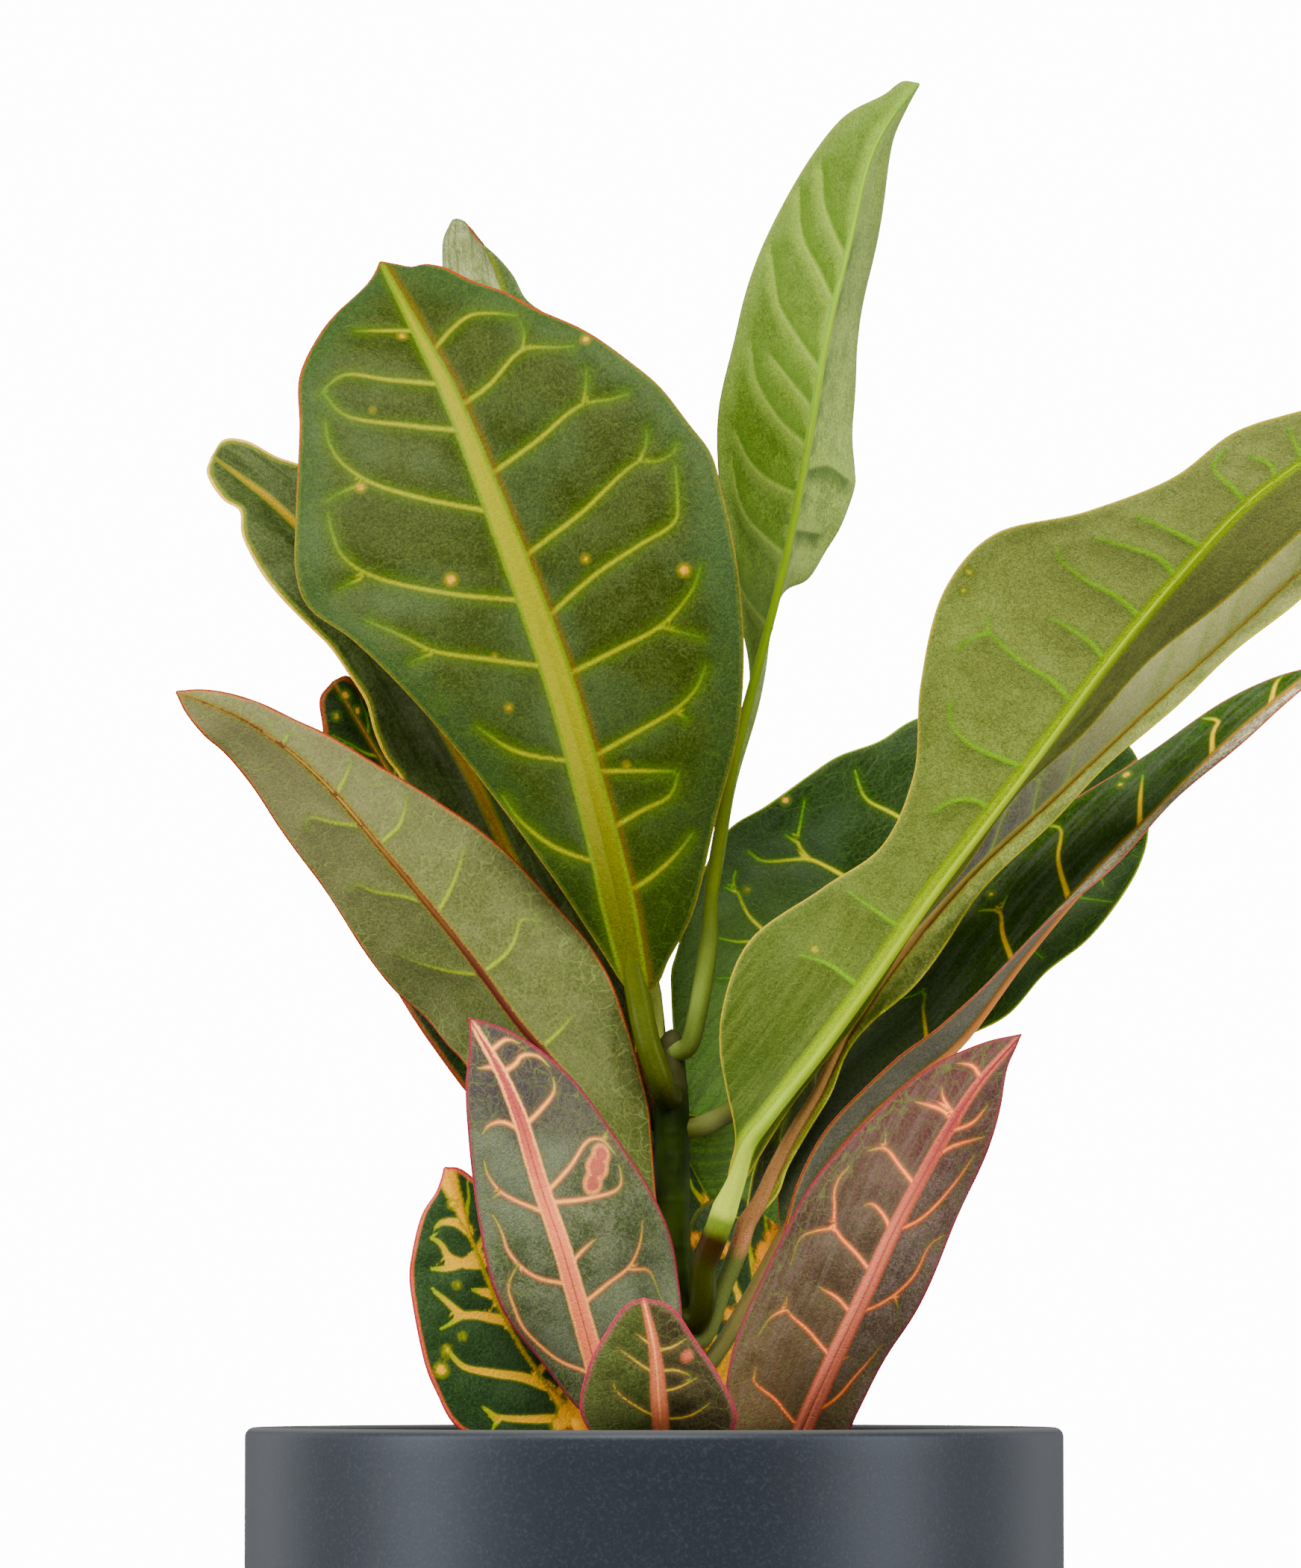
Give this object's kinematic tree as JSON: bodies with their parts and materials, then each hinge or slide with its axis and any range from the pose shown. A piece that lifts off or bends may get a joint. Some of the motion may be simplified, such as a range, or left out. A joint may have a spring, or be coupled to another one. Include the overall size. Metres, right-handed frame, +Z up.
{
  "type": "potted croton plant",
  "caption": "Young croton with broad leathery veined leaves on one upright stem, in a straight-sided round slate-grey pot filled with soil.",
  "frame": {"origin": "centre of the pot's flat underside, on the surface it stands on", "axes": "+Z up along the pot's axis, +X to the right of the plant seen from the front, +Y to the back"},
  "size_m": [0.2177, 0.1635, 0.3885],
  "materials": {
    "pot": "matte slate-grey glaze",
    "soil": "rough, dark, crumbly",
    "stem": "smooth young bark with leaf scars",
    "olive_leaf": "waxy, olive with yellow veins and a red margin",
    "young_leaf": "waxy, light green with a yellow or red midrib",
    "dark_leaf": "waxy, dark green with yellow veins",
    "purple_leaf": "waxy, purple-brown and green with salmon veins"
  },
  "bodies": {
    "root": {"pot": "pot", "soil": "soil", "stem": "stem", "leaf_top_front": "olive_leaf", "leaf_top_upright": "young_leaf", "leaf_top_behind": "dark_leaf", "leaf_left_high": "dark_leaf", "leaf_left_inner": "dark_leaf", "leaf_left_front": "young_leaf", "leaf_low_left_front": "purple_leaf", "leaf_low_front": "purple_leaf", "leaf_low_right_front": "purple_leaf", "leaf_low_left": "dark_leaf", "leaf_low_right": "dark_leaf", "leaf_right_front": "young_leaf", "leaf_right_middle": "olive_leaf", "leaf_right_folded": "dark_leaf", "leaf_right_behind": "dark_leaf", "leaf_back_top": "olive_leaf", "leaf_back_right": "dark_leaf", "leaf_back_left": "dark_leaf", "leaf_back_low_right": "dark_leaf", "leaf_back_low_left": "dark_leaf"}
  },
  "joints": []
}
